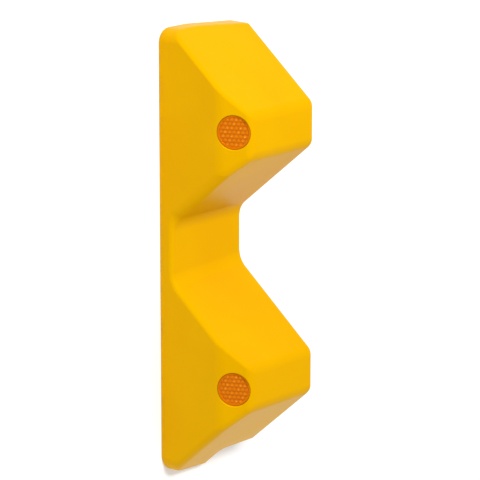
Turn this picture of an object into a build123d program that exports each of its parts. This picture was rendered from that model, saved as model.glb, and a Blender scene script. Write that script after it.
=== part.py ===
# Parking wheel stop: a hollow moulded bar with two wedge humps, two round reflectors and four floor pads.
# X runs along the bar, Y from its front (traffic) face to its back, Z is up from the floor.
# The origin is on the floor, under the middle of the bar. Sizes are millimetres.
import math
import os

from build123d import *

# Bar
bar_length = 507.5
bar_width = 120.0
hump_height = 118.0
wall = 4.0

# Humps, in side view
hump_spacing = 281.0        # between the middles of the two flat tops
hump_shift = -7.25          # of both humps together, from the middle of the bar
hump_top_length = 47.0
slope_run_per_rise = 0.83   # length that a slope takes for one millimetre of height
right_run_per_rise = 0.875  # the same for the outer slope of the right hump, which is flatter
crest_radius = 9.0
foot_radius = 18.0

# Cross section
crease_height = 86.0        # the front face is upright up to here
top_setback = 16.0          # and then leans back by this much to the hump top
bridge_front_height = 17.0  # the low bridge between the humps falls towards the back
bridge_back_height = 13.0

# Ends, seen from above
left_land = 42.0            # square part of the left end, from the front
left_taper = 7.0            # the rest of it slants in by this much at the back
nose_width = 67.0           # the right end's nose, from the front
nose_slant = 7.0            # its front corner stands back by this much
nose_step = 23.0            # behind it the end stands in by this much
nose_draft = 2.0            # its side wall slants forwards by this much
end_corner_radius = 16.0

# Reflectors
reflector_diameter = 37.0
reflector_spacing = 286.5
reflector_shift = -2.0      # of both reflectors, from the middles of the humps
reflector_drop = 2.0        # from the middle of the leaning facet towards its crease
lens_recess = 2.2
lens_thickness = 3.2
lens_face_thickness = 2.0
lens_rim = 2.0
backing_thickness = 1.6
adhesive_thickness = 1.0
adhesive_margin = 2.0
pocket_clearance = 0.4      # around the reflector
pocket_wall = 3.0

# Floor pads, in shallow trays under the bar
pad_length = 96.0
pad_width = 30.0
pad_thickness = 2.0
pad_corner_radius = 5.0
pad_clearance = 0.5         # around each pad
pad_spacing_x = 250.0
pad_spacing_y = 62.0
tray_wall = 3.0             # plastic above each tray

front_y = -bar_width / 2
back_y = bar_width / 2
facet_rise = hump_height - crease_height
facet_lean = math.atan2(top_setback, facet_rise)
pocket_radius = reflector_diameter / 2 + pocket_clearance
pocket_depth = lens_recess + lens_thickness + backing_thickness + adhesive_thickness
floor_thickness = pad_thickness + tray_wall
near = 1.0                  # an edge this close to a face counts as lying in it
mostly = 0.9                # the least share of an edge's direction that counts as along an axis


def outline(points, inset):
    """Closed flat outline, drawn in by inset."""
    face = make_face(Polyline(*points, close=True))
    if inset > 0:
        face = offset(face, amount=-inset, kind=Kind.INTERSECTION)
    return face


def hump_block(side, inset):
    """One hump as a wedge right across the bar."""
    middle = hump_shift + side * hump_spacing / 2
    half_top = hump_top_length / 2
    right_run = right_run_per_rise if side > 0 else slope_run_per_rise
    points = [
        (middle - half_top - slope_run_per_rise * hump_height, 0),
        (middle - half_top, hump_height),
        (middle + half_top, hump_height),
        (middle + half_top + right_run * hump_height, 0),
    ]
    return extrude(Plane.XZ * outline(points, inset), amount=bar_width, both=True)


def bridge_block(inset):
    """The low bridge that joins the humps."""
    points = [
        (front_y, 0),
        (back_y, 0),
        (back_y, bridge_back_height),
        (front_y, bridge_front_height),
    ]
    middle = Plane.YZ.offset(hump_shift)
    return extrude(middle * outline(points, inset), amount=hump_spacing / 2, both=True)


def section_block(inset):
    """The cross section of a hump, along the whole bar."""
    points = [
        (front_y, 0),
        (back_y, 0),
        (back_y, hump_height),
        (front_y + top_setback, hump_height),
        (front_y, crease_height),
    ]
    return extrude(Plane.YZ * outline(points, inset), amount=bar_length, both=True)


def plan_block(inset):
    """The bar seen from above: a tapered left end, and a nose with a step behind it on the right end."""
    end_x = bar_length / 2
    step_y = front_y + nose_width
    points = [
        (-end_x, front_y),
        (end_x - nose_slant, front_y),
        (end_x, step_y),
        (end_x - nose_step, step_y - nose_draft),
        (end_x - nose_step, back_y),
        (left_taper - end_x, back_y),
        (-end_x, front_y + left_land),
    ]
    return extrude(outline(points, inset), amount=hump_height)


def plain_bar(inset):
    """The bar with sharp edges, smaller by inset all round."""
    bar = hump_block(-1, inset) + hump_block(1, inset) + bridge_block(inset)
    return bar & section_block(inset) & plan_block(inset)


def pick(bar, test):
    """Edges of the bar whose middle and direction pass the test."""
    return [e for e in bar.edges() if test(e.center(), e.tangent_at(0.5))]


def is_crest(middle, direction):
    """True for the edges between a flat top and its slopes."""
    return abs(direction.Y) > mostly and middle.Z > hump_height - near


def is_foot(middle, direction):
    """True for the edges between the slopes and the bridge."""
    low = near < middle.Z < 2 * bridge_front_height
    return abs(direction.Y) > mostly and abs(middle.X) < hump_spacing / 2 and low


def is_front_corner(middle, direction):
    """True for the two upright corners of the front face."""
    at_end = abs(middle.X) > bar_length / 2 - nose_slant - near
    return abs(direction.Z) > mostly and middle.Y < front_y + near and at_end


def rounded_bar():
    """The outside of the bar, with its moulded radii."""
    bar = plain_bar(0).solid()
    bar = bar.fillet(crest_radius, pick(bar, is_crest))
    bar = bar.fillet(foot_radius, pick(bar, is_foot))
    return bar.fillet(end_corner_radius, pick(bar, is_front_corner))


def on_facet(side):
    """Flat place on a hump's leaning facet, at the middle of its reflector."""
    along = facet_rise / math.cos(facet_lean) / 2 - reflector_drop
    place = (
        hump_shift + reflector_shift + side * reflector_spacing / 2,
        front_y + along * math.sin(facet_lean),
        crease_height + along * math.cos(facet_lean),
    )
    outward = (0, -math.cos(facet_lean), math.sin(facet_lean))
    return Plane(origin=place, x_dir=(1, 0, 0), z_dir=outward)


def disc(side, radius, top, thickness):
    """Disc on a hump's facet, whose outer face is at the height called top."""
    return on_facet(side) * Pos(0, 0, top - thickness / 2) * Cylinder(radius, thickness)


def pad_places():
    """Middle of each floor pad, as X and Y."""
    return [(sx * pad_spacing_x / 2, sy * pad_spacing_y / 2) for sx in (-1, 1) for sy in (-1, 1)]


def pad_block(place, length, width, corner, thickness):
    """Flat rounded block that stands on the floor."""
    return Pos(place[0], place[1], 0) * extrude(RectangleRounded(length, width, corner), amount=thickness)


def housing():
    """The yellow bar: hollow and closed underneath, with reflector pockets and pad trays."""
    cavity = plain_bar(wall)
    cavity -= Pos(0, 0, floor_thickness / 2) * Box(bar_length, bar_width, floor_thickness)
    for side in (-1, 1):
        cavity -= disc(side, pocket_radius + pocket_wall, 0, pocket_depth + pocket_wall)
    body = rounded_bar() - cavity
    for side in (-1, 1):
        body -= disc(side, pocket_radius, pocket_depth, 2 * pocket_depth)
    for place in pad_places():
        body -= pad_block(
            place,
            pad_length + 2 * pad_clearance,
            pad_width + 2 * pad_clearance,
            pad_corner_radius + pad_clearance,
            pad_thickness,
        )
    return body


def lens(side):
    """Amber cap with a shallow chamber behind its face for the prisms."""
    radius = reflector_diameter / 2
    cap = disc(side, radius, -lens_recess, lens_thickness)
    chamber_top = -lens_recess - lens_face_thickness
    return cap - disc(side, radius - lens_rim, chamber_top, lens_thickness - lens_face_thickness)


def backing(side):
    """Plate that closes the back of the lens."""
    return disc(side, reflector_diameter / 2, -lens_recess - lens_thickness, backing_thickness)


def adhesive(side):
    """Foam tape disc that holds the reflector in its pocket."""
    top = adhesive_thickness - pocket_depth
    return disc(side, reflector_diameter / 2 - adhesive_margin, top, adhesive_thickness)


def build_parts():
    """Every piece of the wheel stop, by name."""
    parts = {"housing": housing()}
    for side, name in ((-1, "left"), (1, "right")):
        parts["reflector_lens_" + name] = lens(side)
        parts["reflector_backing_" + name] = backing(side)
        parts["reflector_adhesive_" + name] = adhesive(side)
    for number, place in enumerate(pad_places(), start=1):
        parts["floor_pad_" + str(number)] = pad_block(
            place, pad_length, pad_width, pad_corner_radius, pad_thickness
        )
    return parts


os.makedirs("parts", exist_ok=True)
for node, shape in build_parts().items():
    export_step(shape, "parts/" + node + ".step")
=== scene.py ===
import math

import bmesh
import bpy
from mathutils import Matrix, Vector


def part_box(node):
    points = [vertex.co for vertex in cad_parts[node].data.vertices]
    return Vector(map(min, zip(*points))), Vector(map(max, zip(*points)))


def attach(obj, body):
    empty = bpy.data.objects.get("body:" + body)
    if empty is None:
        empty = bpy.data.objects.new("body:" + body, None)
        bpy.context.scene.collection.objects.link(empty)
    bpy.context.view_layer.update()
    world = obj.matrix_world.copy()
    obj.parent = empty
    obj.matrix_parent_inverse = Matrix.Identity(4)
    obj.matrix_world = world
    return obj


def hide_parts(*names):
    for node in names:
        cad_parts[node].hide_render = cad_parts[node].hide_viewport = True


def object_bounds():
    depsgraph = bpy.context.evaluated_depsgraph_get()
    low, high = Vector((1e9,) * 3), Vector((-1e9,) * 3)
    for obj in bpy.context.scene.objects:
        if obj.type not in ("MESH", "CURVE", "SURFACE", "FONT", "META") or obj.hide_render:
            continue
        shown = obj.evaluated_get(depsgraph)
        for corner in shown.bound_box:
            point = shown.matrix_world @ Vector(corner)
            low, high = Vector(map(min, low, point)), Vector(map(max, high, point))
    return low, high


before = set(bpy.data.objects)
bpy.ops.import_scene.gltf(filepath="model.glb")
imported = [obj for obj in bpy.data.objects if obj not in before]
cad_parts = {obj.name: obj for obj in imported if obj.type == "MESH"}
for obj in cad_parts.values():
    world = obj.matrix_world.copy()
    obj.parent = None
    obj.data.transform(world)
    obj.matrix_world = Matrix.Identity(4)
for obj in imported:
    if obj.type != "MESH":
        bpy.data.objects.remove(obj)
cadBox = [list(corner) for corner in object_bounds()]
mm = 0.001


class Wire:
    # one output socket, so that shader maths can be written as plain expressions
    def __init__(self, paint, socket):
        self.paint = paint
        self.socket = socket

    def maths(self, operation, first, second):
        return self.paint.node("ShaderNodeMath", {"operation": operation}, {0: first, 1: second})

    def __add__(self, other):
        return self.maths("ADD", self, other)

    def __radd__(self, other):
        return self.maths("ADD", other, self)

    def __rsub__(self, other):
        return self.maths("SUBTRACT", other, self)

    def __mul__(self, other):
        return self.maths("MULTIPLY", self, other)


class Paint:
    # one material with a Principled shader, and the nodes that feed it
    def __init__(self, name, **fixed):
        self.material = bpy.data.materials.new(name)
        self.material.use_nodes = True
        self.tree = self.material.node_tree
        self.tree.nodes.clear()
        self.shader = self.tree.nodes.new("ShaderNodeBsdfPrincipled")
        output = self.tree.nodes.new("ShaderNodeOutputMaterial")
        self.tree.links.new(self.shader.outputs[0], output.inputs[0])
        for key, value in fixed.items():
            self.shader.inputs[key.replace("_", " ")].default_value = value
        self.place = self.node("ShaderNodeTexCoord", out="Object")

    def node(self, kind, settings=None, sockets=None, out=0):
        made = self.tree.nodes.new(kind)
        for key, value in (settings or {}).items():
            if key == "stops":
                while len(made.color_ramp.elements) < len(value):
                    made.color_ramp.elements.new(0.5)
                for element, (position, colour) in zip(made.color_ramp.elements, value):
                    element.position = position
                    element.color = colour
            else:
                setattr(made, key, value)
        for key, value in (sockets or {}).items():
            if isinstance(value, Wire):
                self.tree.links.new(value.socket, made.inputs[key])
            else:
                made.inputs[key].default_value = value
        return Wire(self, made.outputs[out])

    def feed(self, name, wire):
        self.tree.links.new(wire.socket, self.shader.inputs[name])

    def noise(self, scale, detail=2.0, rough=0.5, place=None):
        return self.node(
            "ShaderNodeTexNoise",
            {},
            {"Vector": place or self.place, "Scale": scale, "Detail": detail, "Roughness": rough},
        )

    def stretched(self, size):
        return self.node("ShaderNodeMapping", {}, {"Vector": self.place, "Scale": size})

    def between(self, wire, low, high):
        # 0 below low, 1 above high, smooth in between
        return self.node(
            "ShaderNodeMapRange",
            {"interpolation_type": "SMOOTHSTEP"},
            {"Value": wire, "From Min": low, "From Max": high},
        )

    def blend(self, share, first, second):
        return self.node(
            "ShaderNodeMix", {"data_type": "RGBA"}, {0: share, 6: first, 7: second}, out=2
        )

    def bump(self, height, distance, strength, over=None):
        sockets = {"Height": height, "Distance": distance, "Strength": strength}
        if over:
            sockets["Normal"] = over
        return self.node("ShaderNodeBump", {}, sockets)


def newPiece(name, bm):
    bmesh.ops.remove_doubles(bm, verts=bm.verts, dist=1e-6)
    bmesh.ops.recalc_face_normals(bm, faces=bm.faces)
    mesh = bpy.data.meshes.new(name)
    bm.to_mesh(mesh)
    bm.free()
    piece = bpy.data.objects.new(name, mesh)
    bpy.context.scene.collection.objects.link(piece)
    return piece


def applyModifiers(piece):
    # the piece keeps its evaluated mesh, and its modifiers go
    bpy.context.view_layer.update()
    seen = piece.evaluated_get(bpy.context.evaluated_depsgraph_get())
    mesh = bpy.data.meshes.new_from_object(seen)
    piece.modifiers.clear()
    old = piece.data
    piece.data = mesh
    bpy.data.meshes.remove(old)
    mesh.name = piece.name


def combine(piece, tool, operation):
    # boolean with a tool that is used up
    joint = piece.modifiers.new("combine", "BOOLEAN")
    joint.operation = operation
    joint.solver = "EXACT"
    joint.object = tool
    applyModifiers(piece)
    bpy.data.objects.remove(tool)


def smoothShade(piece, degrees=32.0):
    # smooth across edges that turn by less than degrees, with large faces kept flat
    for polygon in piece.data.polygons:
        polygon.use_smooth = True
    piece.data.set_sharp_from_angle(angle=math.radians(degrees))
    normals = piece.modifiers.new("normals", "WEIGHTED_NORMAL")
    normals.keep_sharp = True
    normals.weight = 60


def pushedVerts(made):
    # the new vertices that an extrusion made
    return [item for item in made["geom"] if isinstance(item, bmesh.types.BMVert)]


def slicePlane(bm, point, normal, clear=False):
    # cuts the mesh at a plane, and can clear what lies beyond it
    bmesh.ops.bisect_plane(
        bm,
        geom=list(bm.verts) + list(bm.edges) + list(bm.faces),
        plane_co=point,
        plane_no=normal,
        clear_outer=clear,
        dist=1e-7,
    )


def openEdges(bm):
    return [edge for edge in bm.edges if edge.is_boundary]


def roundOff(bm, edges, radius, steps=8):
    bmesh.ops.bevel(
        bm,
        geom=edges,
        offset=radius * mm,
        affect="EDGES",
        segments=steps,
        profile=0.5,
        material=-1,
    )


def prism(name, outline, rise):
    # flat outline of (x, y, z) points pushed along rise
    bm = bmesh.new()
    face = bm.faces.new([bm.verts.new(point) for point in outline])
    pushed = bmesh.ops.extrude_face_region(bm, geom=[face])
    bmesh.ops.translate(bm, verts=pushedVerts(pushed), vec=Vector(rise))
    return newPiece(name, bm)


def block(low, high, corner):
    # upright block between two corners, with its four upright edges rounded
    bm = bmesh.new()
    bmesh.ops.create_cube(bm, size=1.0)
    bmesh.ops.scale(bm, verts=bm.verts, vec=high - low)
    bmesh.ops.translate(bm, verts=bm.verts, vec=(low + high) / 2)
    roundOff(bm, [e for e in bm.edges if abs(e.verts[0].co.z - e.verts[1].co.z) > mm], corner)
    return bm


def lathe(profile, steps):
    # closed or axis-to-axis profile of (radius, height) points, spun about Z
    bm = bmesh.new()
    points = [bm.verts.new((radius, 0, height)) for radius, height in profile]
    edges = [bm.edges.new(pair) for pair in zip(points, points[1:])]
    bmesh.ops.spin(
        bm,
        geom=points + edges,
        cent=(0, 0, 0),
        axis=(0, 0, 1),
        angle=2 * math.pi,
        steps=steps,
        use_merge=True,
    )
    bmesh.ops.remove_doubles(bm, verts=bm.verts, dist=1e-6)
    bmesh.ops.recalc_face_normals(bm, faces=bm.faces)
    return bm


def arc(centre, radius, start, end, steps):
    # points of an arc in a (radius, height) profile, angles in degrees
    points = []
    for step in range(steps + 1):
        turn = math.radians(start + (end - start) * step / steps)
        points.append((centre[0] + radius * math.cos(turn), centre[1] + radius * math.sin(turn)))
    return points


def dress(piece, paint, slotName, *nodes):
    piece.data.materials.clear()
    piece.data.materials.append(paint.material)
    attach(piece, "root")
    if nodes:
        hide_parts(*nodes)


def yellowPlastic():
    look = {
        "yellow": (0.795, 0.408, 0.0002, 1),
        "paleYellow": (0.815, 0.428, 0.0003, 1),
        "deepYellow": (0.740, 0.340, 0.0001, 1),
        "scuff": (0.960, 0.640, 0.0900, 1),
        # dark brown for the bottom strip by the floor: dust and painted shade
        "floorDustAndShade": (0.420, 0.220, 0.0300, 1),
    }
    paint = Paint("yellowPlastic", Specular_IOR_Level=0.034)
    paint.shader.inputs["Specular Tint"].default_value = (1.0, 0.66, 0.04, 1)
    cloud = paint.noise(11.0, 3.0, 0.45)
    streak = paint.noise(5.0, 4.0, 0.55, paint.stretched((1.0, 5.0, 9.0)))
    speck = paint.noise(1300.0, 1.0, 0.4)
    colour = paint.blend(paint.between(cloud, 0.38, 0.66), look["yellow"], look["paleYellow"])
    colour = paint.blend(paint.between(streak, 0.50, 0.80) * 0.14, colour, look["deepYellow"])
    colour = paint.blend(paint.between(speck, 0.60, 0.82) * 0.10, colour, look["deepYellow"])
    scratchPlace = paint.stretched((26.0, 420.0, 420.0))
    scratch = paint.between(paint.noise(1.0, 3.0, 0.6, scratchPlace), 0.665, 0.70)
    scuffPatch = paint.between(paint.noise(24.0, 3.0, 0.6), 0.58, 0.74)
    scuff = scratch * scuffPatch
    colour = paint.blend(scuff * 0.35, colour, look["scuff"])
    # dust and painted shade: within 7.5 mm of the floor the colour is darkened in patches, and the roughness
    # rises there
    split = paint.node("ShaderNodeSeparateXYZ", {}, {0: paint.place}, out="Z")
    low = 1.0 - paint.between(split, 0.0005, 0.0075)
    floorDustAndShade = low * paint.between(paint.noise(70.0, 4.0, 0.6), 0.40, 0.75)
    colour = paint.blend(floorDustAndShade * 0.30, colour, look["floorDustAndShade"])
    paint.feed("Base Color", colour)
    grain = paint.noise(520.0, 2.0, 0.5)
    rough = 0.24 + cloud * 0.08 + grain * 0.05 + scuff * 0.20 + floorDustAndShade * 0.25
    paint.feed("Roughness", rough)
    wave = paint.bump(paint.noise(16.0, 2.0, 0.4), 0.0022, 0.55)
    peel = paint.bump(paint.noise(260.0, 2.0, 0.5), 0.00022, 0.45, wave)
    paint.feed("Normal", paint.bump(grain, 0.00006, 0.5, peel))
    return paint


def amberLens():
    look = {
        "amber": (0.700, 0.175, 0.0005, 1),
        "glint": (1.000, 0.400, 0.0400, 1),
        "deep": (0.530, 0.105, 0.0002, 1),
    }
    paint = Paint("amberLens", Coat_Weight=0.06, Coat_Roughness=0.04, Specular_IOR_Level=0.4)
    paint.shader.inputs["Specular Tint"].default_value = (1.0, 0.45, 0.03, 1)
    cloud = paint.noise(75.0, 2.0, 0.5)
    speck = paint.noise(420.0, 2.0)
    # painted highlight and painted shade: where the glint value is high a cell is painted bright, and where
    # it falls to nought at the cell corners it is painted the darker amber
    cell = paint.node("ShaderNodeAttribute", {"attribute_name": "glint"}, out="Fac")
    colour = paint.blend(paint.between(cell + speck * 0.15, 0.05, 0.32), look["deep"], look["amber"])
    paintedHighlight = paint.between(cell * (0.70 + cloud * 0.5), 0.56, 0.90)
    colour = paint.blend(paintedHighlight, colour, look["glint"])
    paint.feed("Base Color", colour)
    paint.feed("Roughness", 0.20 + speck * 0.14)
    paint.feed("Normal", paint.bump(speck, 0.00008, 0.35))
    return paint


def moulded(name, colour, other, rough, grainScale, grainDepth):
    # matte moulded or foamed plastic with a grain
    paint = Paint(name, Specular_IOR_Level=0.4)
    grain = paint.noise(grainScale, 3.0, 0.6)
    cell = paint.node("ShaderNodeTexVoronoi", {}, {"Vector": paint.place, "Scale": grainScale * 0.8})
    cloud = paint.between(paint.noise(40.0, 3.0), 0.35, 0.70)
    paint.feed("Base Color", paint.blend(cloud * 0.7 + grain * 0.3, colour, other))
    paint.feed("Roughness", rough + grain * 0.15)
    pores = paint.bump(cell, grainDepth, 0.6)
    paint.feed("Normal", paint.bump(grain, grainDepth, 0.5, pores))
    return paint


yellow = yellowPlastic()
amber = amberLens()
backingPaint = moulded("backingPlate", (0.36, 0.080, 0.010, 1), (0.26, 0.055, 0.008, 1), 0.5, 700.0, 0.00006)
foamPaint = moulded("adhesiveFoam", (0.78, 0.78, 0.76, 1), (0.66, 0.66, 0.63, 1), 0.75, 1500.0, 0.00012)
padPaint = moulded("floorPadButyl", (0.035, 0.035, 0.038, 1), (0.060, 0.060, 0.062, 1), 0.62, 900.0, 0.00012)
print("materials made")


housingSizes = {
    "humpSpacing": 281.0,
    "humpShift": -7.25,
    "topLength": 47.0,
    "runPerRise": 0.83,
    "rightRunPerRise": 0.875,
    "creaseHeight": 86.0,
    "topSetback": 16.0,
    "facetRise": 32.0,
    "bridgeFront": 17.0,
    "bridgeBack": 13.0,
    "leftLand": 42.0,
    "leftTaper": 7.0,
    "noseWidth": 67.0,
    "noseSlant": 7.0,
    "noseStep": 23.0,
    "noseDraft": 2.0,
    "pocketClearance": 0.3,
    "pocketDepth": 8.0,
    "pocketLip": 1.3,
    "pocketReach": 8.0,  # of the pocket's cutter above the facet
    "trayClearance": 0.5,
    "trayCorner": 5.5,
}
facetLean = math.atan2(housingSizes["topSetback"], housingSizes["facetRise"])  # back from upright
reflectorSizes = {
    "thickness": 3.2,
    "recess": 2.2,  # of the lens solid's face, below the facet
    "faceRecess": 1.7,  # of the lens made here
    "rimWidth": 1.9,
    "rimOuterRound": 0.7,
    "rimInnerRound": 0.5,
    "backChamfer": 0.3,
    "wellDepth": 1.9,  # inside the rim
    "cellPitch": 4.85,
    "cellStretch": 1.08,
    "cellRelief": 0.95,
    "cellDepth": 0.35,  # of the cells' raised middles, below the rim
    "fieldDepth": 2.2,  # of the underside of the cells
    "fieldOverlap": 0.1,  # of the cells into the rim
}
cellShare = 0.45  # of the relief, at every other corner of a cell
fieldSides = 48
roundSteps = 96  # around each lens and pocket


def facetFrame(node):
    # local frame with its origin on the facet above a lens, Z out of the facet, Y up it
    low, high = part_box(node)
    middle = (Vector(low) + Vector(high)) / 2
    outward = Vector((0, -math.cos(facetLean), math.sin(facetLean)))
    up = Vector((0, math.sin(facetLean), math.cos(facetLean)))
    origin = middle + outward * (reflectorSizes["thickness"] / 2 + reflectorSizes["recess"]) * mm
    turn = Matrix((Vector((1, 0, 0)), up, outward)).transposed().to_4x4()
    return Matrix.Translation(origin) @ turn


def lensRadius(node):
    low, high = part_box(node)
    return (high[0] - low[0]) / 2


edgeRadii = {
    "crest": 17.0,
    "foot": 21.0,
    "frontSlopeLeft": 6.0,  # on slopes that face left
    "frontSlopeRight": 11.0,
    "frontCrease": 30.0,
    "facetTop": 11.0,
    "facetSideLeft": 5.0,
    "facetSideRight": 9.0,
    "bridgeFront": 5.0,
    "back": 4.0,
    "endTop": 4.0,
    "leftCorner": 15.0,
    "rightCorner": 18.0,
    "endCorner": 3.0,
    "floor": 1.0,
}
square = 0.98  # the least share of a direction that counts as along an axis


def bodyBlank():
    # side outline pushed across the bar, cut to the plan, with the two leaning facets
    size = housingSizes
    low, high = Vector(cadBox[0]) / mm, Vector(cadBox[1]) / mm
    half = size["topLength"] / 2
    left = size["humpShift"] - size["humpSpacing"] / 2
    right = size["humpShift"] + size["humpSpacing"] / 2

    def slopeHeight(run):
        return high.z - run / size["runPerRise"]

    def slopeRun(height):
        return (high.z - height) * size["runPerRise"]

    foot = slopeRun(size["bridgeFront"])
    side = [
        (low.x, low.z),
        (low.x, slopeHeight(left - half - low.x)),
        (left - half, high.z),
        (left + half, high.z),
        (left + half + foot, size["bridgeFront"]),
        (right - half - foot, size["bridgeFront"]),
        (right - half, high.z),
        (right + half, high.z),
        (high.x, high.z - (high.x - right - half) / size["rightRunPerRise"]),
        (high.x, low.z),
    ]
    outline = [Vector((x, low.y, z)) * mm for x, z in side]
    body = prism("housing_moulding", outline, (0, (high.y - low.y) * mm, 0))
    backFoot = slopeRun(size["bridgeBack"])
    for vertex in body.data.vertices:  # the bridge falls towards the back
        x, y, z = vertex.co / mm
        if y > 0 and abs(z - size["bridgeFront"]) < 0.01:
            edge = left + half + backFoot if x < 0 else right - half - backFoot
            vertex.co = Vector((edge, y, size["bridgeBack"])) * mm

    stepY = low.y + size["noseWidth"]
    plan = [
        (low.x, low.y),
        (high.x - size["noseSlant"], low.y),
        (high.x, stepY),
        (high.x - size["noseStep"], stepY - size["noseDraft"]),
        (high.x - size["noseStep"], high.y),
        (low.x + size["leftTaper"], high.y),
        (low.x, low.y + size["leftLand"]),
    ]
    deep = 5.0
    planTool = prism(
        "planTool",
        [Vector((x, y, low.z - deep)) * mm for x, y in plan],
        (0, 0, (high.z - low.z + 2 * deep) * mm),
    )
    for vertex in planTool.data.vertices:  # clear of the outline's own front, back and left faces
        if abs(vertex.co.y - low.y * mm) < 1e-5:
            vertex.co.y -= deep * mm
        if abs(vertex.co.y - high.y * mm) < 1e-5:
            vertex.co.y += deep * mm
    combine(body, planTool, "INTERSECT")

    bm = bmesh.new()
    bm.from_mesh(body.data)
    lean = math.atan2(size["topSetback"], high.z - size["creaseHeight"])
    crease = Vector((0, low.y, size["creaseHeight"])) * mm
    slicePlane(bm, crease, Vector((0, -math.cos(lean), math.sin(lean))), clear=True)
    bmesh.ops.holes_fill(bm, edges=openEdges(bm), sides=0)
    bmesh.ops.dissolve_limit(bm, angle_limit=math.radians(0.5), verts=bm.verts, edges=bm.edges)
    bmesh.ops.recalc_face_normals(bm, faces=bm.faces)
    bm.to_mesh(body.data)
    bm.free()
    return body


def edgeRadius(edge):
    # the moulded radius of an edge, from the faces that meet there
    low, high = Vector(cadBox[0]) / mm, Vector(cadBox[1]) / mm
    first, second = [face.normal for face in edge.link_faces]
    middle = (edge.verts[0].co + edge.verts[1].co) / 2 / mm
    pair = (first, second)
    front = any(normal.y < -square for normal in pair)
    back = any(normal.y > square for normal in pair)
    facet = any(-square < normal.y < -0.5 and normal.z > 0.2 for normal in pair)
    top = any(normal.z > square for normal in pair)
    slope = any(0.3 < abs(normal.x) < 0.95 and normal.z > 0.3 for normal in pair)
    way = "Left" if first.x + second.x < 0 else "Right"
    if middle.z < 0.5:
        return edgeRadii["floor"]
    if back:
        return edgeRadii["back"]
    if facet and front:
        return edgeRadii["frontCrease"]
    if facet and top:
        return edgeRadii["facetTop"]
    if facet:
        return edgeRadii["facetSide" + way]
    if front and slope:
        return edgeRadii["frontSlope" + way]
    if front and top:
        return edgeRadii["bridgeFront"]
    if slope and middle.z > high.z - 1:
        return edgeRadii["crest"]
    if slope and top:
        return edgeRadii["foot"]
    if slope:  # along the end, and round its front corner
        upright = min(pair, key=lambda normal: abs(normal.z))
        share = abs(upright.y)
        return edgeRadii["endTop"] * (1 - share) + edgeRadii["frontSlope" + way] * share
    return edgeRadii["endCorner"]


def isUpright(edge):
    first, second = [vertex.co for vertex in edge.verts]
    return abs(first.z - second.z) > square * (first - second).length


def roundEdges(body):
    # one bevel with its own width for each kind of edge
    bm = bmesh.new()
    bm.from_mesh(body.data)
    for end, radius in ((-1, edgeRadii["leftCorner"]), (1, edgeRadii["rightCorner"])):
        corner = [
            edge
            for edge in bm.edges
            if isUpright(edge) and edge.verts[0].co.y < cadBox[0][1] + mm and edge.verts[0].co.x * end > 0
        ]
        roundOff(bm, corner, radius)
    weight = bm.edges.layers.float.new("bevel_weight_edge")
    offsets = {}
    for edge in bm.edges:
        turn = edge.calc_face_angle()
        smooth = isUpright(edge) and turn < math.radians(15)
        if turn > math.radians(3) and not smooth:
            offsets[edge] = edgeRadius(edge) * mm * math.tan(turn / 2)
    widest = max(offsets.values())
    for edge, offset in offsets.items():
        edge[weight] = offset / widest
    bm.to_mesh(body.data)
    bm.free()
    bevel = body.modifiers.new("radii", "BEVEL")
    bevel.limit_method = "WEIGHT"
    bevel.width = widest
    bevel.segments = 8
    bevel.profile = 0.5
    bevel.miter_outer = "MITER_ARC"
    bevel.use_clamp_overlap = False
    applyModifiers(body)


def pocketTool(node):
    size = housingSizes
    radius = lensRadius(node) / mm + size["pocketClearance"]
    lip = size["pocketLip"]
    profile = [(0, -size["pocketDepth"]), (radius, -size["pocketDepth"])]
    profile += arc((radius + lip, -lip), lip, 180, 90, 5)
    profile += [(radius + lip, size["pocketReach"]), (0, size["pocketReach"])]
    bm = lathe([(r * mm, z * mm) for r, z in profile], roundSteps)
    bmesh.ops.transform(bm, matrix=facetFrame(node), verts=bm.verts)
    return newPiece("pocketTool", bm)


def trayTool(node):
    # room for a pad, reaching as far below the floor as the pad is thick
    low, high = [Vector(corner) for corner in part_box(node)]
    grow = housingSizes["trayClearance"] * mm
    thick = high.z - low.z
    start = Vector((low.x - grow, low.y - grow, -thick))
    end = Vector((high.x + grow, high.y + grow, thick))
    return newPiece("trayTool", block(start, end, housingSizes["trayCorner"]))


housing = bodyBlank()
roundEdges(housing)
for side in ("left", "right"):
    combine(housing, pocketTool("reflector_lens_" + side), "DIFFERENCE")
for number in range(1, 5):
    combine(housing, trayTool("floor_pad_" + str(number)), "DIFFERENCE")
smoothShade(housing)
dress(housing, yellow, "yellow_plastic", "housing")
print("housing made,", len(housing.data.polygons), "faces")


def prismField(radius, pitch, stretch, relief, top):
    # corner-cube cells: hexagons whose corners rise and fall in turn about a raised middle
    bm = bmesh.new()
    across = pitch / math.sqrt(3)
    rows = int(radius / (pitch * 0.8)) + 2
    for row in range(-rows, rows + 1):
        for column in range(-rows, rows + 1):
            x = row * pitch * math.sqrt(3) / 2
            y = (column + 0.5 * (row % 2)) * pitch
            if math.hypot(x, y) > radius + pitch:
                continue
            made = bmesh.ops.create_circle(bm, cap_ends=True, cap_tris=True, segments=6, radius=across)
            bmesh.ops.rotate(bm, verts=made["verts"], matrix=Matrix.Rotation(math.radians(90), 3, "Z"))
            for vertex in made["verts"]:
                if vertex.co.length > across / 2:
                    turn = round(math.degrees(math.atan2(vertex.co.y, vertex.co.x)) / 60) % 2
                    vertex.co.z = top - relief * (cellShare if turn else 1.0)
                else:
                    vertex.co.z = top
                vertex.co.x += x
                vertex.co.y += y
    bmesh.ops.remove_doubles(bm, verts=bm.verts, dist=pitch * 0.01)
    bmesh.ops.scale(bm, verts=bm.verts, vec=(stretch, 1.0, 1.0))
    for step in range(fieldSides):  # trimmed to a near circle
        turn = 2 * math.pi * step / fieldSides
        outward = Vector((math.cos(turn), math.sin(turn), 0))
        slicePlane(bm, outward * radius, outward, clear=True)
    return bm


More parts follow.
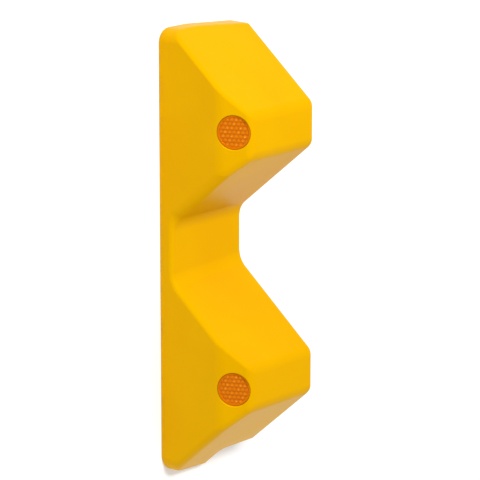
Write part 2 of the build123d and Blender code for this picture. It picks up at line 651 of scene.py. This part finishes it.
def reflectorLens(name, node):
    size = reflectorSizes
    radius = lensRadius(node) / mm
    inner = radius - size["rimWidth"]
    thick = size["thickness"] + size["recess"] - size["faceRecess"]
    chamfer, outer, lip = size["backChamfer"], size["rimOuterRound"], size["rimInnerRound"]
    profile = [(0, -thick), (radius - chamfer, -thick), (radius, -thick + chamfer)]
    profile += arc((radius - outer, -outer), outer, 0, 90, 5)
    profile += arc((inner + lip, -lip), lip, 90, 180, 4)
    profile += [(inner, -size["wellDepth"]), (0, -size["wellDepth"])]
    bm = lathe([(r * mm, z * mm) for r, z in profile], roundSteps)
    place = facetFrame(node) @ Matrix.Translation((0, 0, -size["faceRecess"] * mm))
    bmesh.ops.transform(bm, matrix=place, verts=bm.verts)
    cap = newPiece(name, bm)

    field = prismField(
        (inner + size["fieldOverlap"]) * mm,
        size["cellPitch"] * mm,
        size["cellStretch"],
        size["cellRelief"] * mm,
        -size["cellDepth"] * mm,
    )
    pushed = bmesh.ops.extrude_edge_only(field, edges=openEdges(field))
    for vertex in pushedVerts(pushed):
        vertex.co.z = -size["fieldDepth"] * mm
    bmesh.ops.holes_fill(field, edges=openEdges(field), sides=0)
    bmesh.ops.transform(field, matrix=place, verts=field.verts)
    combine(cap, newPiece("prismTool", field), "UNION")
    glint = cap.data.attributes.new("glint", "FLOAT", "POINT")
    back = place.inverted()
    # painted highlight: the raised middles get high glint values and are painted bright, the corners keep
    # nought and are painted darker, and the rim is set to plain amber
    for vertex in cap.data.vertices:  # the raised middle of each cell catches the light
        local = back @ vertex.co / mm
        if abs(local.z + size["cellDepth"]) < 0.002 and local.xy.length < inner:
            glint.data[vertex.index].value = 0.7 + 0.1 * (round(local.x * 5 + local.y * 3) % 4)
        elif local.xy.length > inner - 0.01:
            glint.data[vertex.index].value = 0.42
    smoothShade(cap, 14.0)
    return cap


for side in ("left", "right"):
    node = "reflector_lens_" + side
    lens = reflectorLens("amber_reflector_" + side, node)
    dress(lens, amber, "amber_lens", node)
    print("reflector made,", len(lens.data.polygons), "faces")


padSizes = {"corner": 5.0, "edge": 0.35, "grooves": 11, "grooveWidth": 2.0, "grooveDepth": 0.5}


def floorPad(name, node):
    low, high = [Vector(corner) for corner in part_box(node)]
    bm = block(low, high, padSizes["corner"])
    rims = [e for e in bm.edges if abs(e.verts[0].co.z - e.verts[1].co.z) < 1e-6]
    roundOff(bm, rims, padSizes["edge"], 3)
    half = padSizes["grooveWidth"] * mm / 2
    for step in range(padSizes["grooves"]):  # grooves across the sticky face let air out
        middle = low.x + (high.x - low.x) * (step + 1) / (padSizes["grooves"] + 1)
        for edge in (-half, half):
            slicePlane(bm, (middle + edge, 0, 0), (1, 0, 0))
        strip = [
            face
            for face in bm.faces
            if face.normal.z < -0.99 and abs(face.calc_center_median().x - middle) < half
        ]
        pushed = bmesh.ops.extrude_face_region(bm, geom=strip)
        bmesh.ops.translate(bm, verts=pushedVerts(pushed), vec=(0, 0, padSizes["grooveDepth"] * mm))
        bmesh.ops.delete(bm, geom=[face for face in strip if face.is_valid], context="FACES_ONLY")
    return newPiece(name, bm)


for number in range(1, 5):
    node = "floor_pad_" + str(number)
    pad = floorPad("sticky_pad_" + str(number), node)
    smoothShade(pad)
    dress(pad, padPaint, "floor_pad", node)

carried = {"reflector_backing": backingPaint, "reflector_adhesive": foamPaint}
for start, paint in carried.items():
    for side in ("_left", "_right"):
        node = bpy.data.objects[start + side]
        for holder in node.material_slots:
            holder.link = "OBJECT"
            holder.material = paint.material
print("floor pads and reflector backs made")


studio = {
    "floorSize": 14.0,
    "floorDrop": -0.0004,  # just clear of the underside
    "worldLight": 0.45,
    "lens": 225.06,
    "yaw": 0.713,
    "pitch": 0.253,
    "distance": 3.2901,
    "aimAcross": -0.08756,
    "aimDown": 0.01161,
}


lights = {
    "keyLight": {"place": (-1.5, -0.5, 2.3), "aimHeight": 0.05, "size": 0.8, "power": 60.0},
    "slopeLight": {"place": (2.2, 0.3, 0.9), "aimHeight": 0.06, "size": 1.0, "power": 9.0},
}


def floorAndWorld():
    bm = bmesh.new()
    bmesh.ops.create_grid(bm, x_segments=8, y_segments=8, size=studio["floorSize"] / 2)
    bmesh.ops.translate(bm, verts=bm.verts, vec=(0, 0, studio["floorDrop"]))
    floor = newPiece("studioFloor", bm)
    paint = Paint("studioFloorPaint", Roughness=0.9, Specular_IOR_Level=0.1, Emission_Strength=0.17)
    paint.shader.inputs["Emission Color"].default_value = (1, 1, 1, 1)
    paint.feed("Base Color", paint.blend(paint.noise(3.0), (0.90, 0.90, 0.90, 1), (0.93, 0.93, 0.93, 1)))
    floor.data.materials.append(paint.material)
    world = bpy.data.worlds.new("studio")
    world.use_nodes = True
    world.node_tree.nodes["Background"].inputs[0].default_value = (1.0, 1.0, 1.0, 1)
    world.node_tree.nodes["Background"].inputs[1].default_value = studio["worldLight"]
    bpy.context.scene.world = world


def softLight(name, place, aimHeight, size, power):
    # square area light aimed at a height above the middle of the floor
    data = bpy.data.lights.new(name, "AREA")
    data.shape = "RECTANGLE"
    data.size, data.size_y = size, size
    data.energy = power
    lamp = bpy.data.objects.new(name, data)
    lamp.location = place
    lamp.rotation_euler = (Vector((0, 0, aimHeight)) - Vector(place)).to_track_quat("-Z", "Y").to_euler()
    bpy.context.scene.collection.objects.link(lamp)


def setCamera():
    yaw, pitch = studio["yaw"], studio["pitch"]
    right = Vector((0, math.sin(yaw), math.cos(yaw)))
    down = Vector((math.cos(pitch), -math.cos(yaw) * math.sin(pitch), math.sin(yaw) * math.sin(pitch)))
    ahead = Vector((math.sin(pitch), math.cos(yaw) * math.cos(pitch), -math.sin(yaw) * math.cos(pitch)))
    start = Vector((housingSizes["humpShift"] * mm, cadBox[0][1], cadBox[0][2]))
    data = bpy.data.cameras.new("camera")
    data.lens = studio["lens"]
    data.sensor_width = 36.0
    data.clip_end = 50.0
    camera = bpy.data.objects.new("camera", data)
    spot = start - studio["aimAcross"] * right - studio["aimDown"] * down - studio["distance"] * ahead
    turn = Matrix((right, -down, -ahead)).transposed().to_4x4()
    camera.matrix_world = Matrix.Translation(spot) @ turn
    bpy.context.scene.collection.objects.link(camera)
    bpy.context.scene.camera = camera


floorAndWorld()
for name, settings in lights.items():
    softLight(name, **settings)
setCamera()
bpy.context.scene.view_settings.view_transform = "Standard"
print("studio made")
